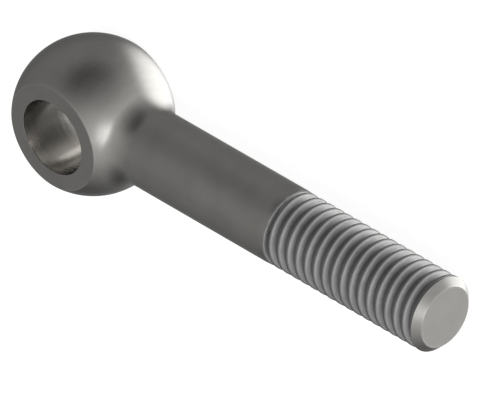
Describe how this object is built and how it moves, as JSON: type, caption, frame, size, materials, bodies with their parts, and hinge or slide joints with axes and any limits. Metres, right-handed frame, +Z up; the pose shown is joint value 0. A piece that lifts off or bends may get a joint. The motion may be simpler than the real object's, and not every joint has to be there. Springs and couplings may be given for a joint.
{
  "type": "swing eye bolt",
  "caption": "Swing eye bolt: a ball-shaped eye with milled flats and a cross bore for a pin, a round shank, and a threaded end for a nut that clamps a lid or cover.",
  "frame": {"origin": "centre of the eye, on the axis of its bore, halfway between its flats", "axes": "+X along the shank to the threaded end, +Z up along the bore, lying on the lower flat of the eye"},
  "size_m": [0.07, 0.02, 0.014],
  "materials": {
    "steel": "dark satin, turned and milled"
  },
  "bodies": {
    "root": {"eye_bolt": "steel"}
  },
  "joints": []
}
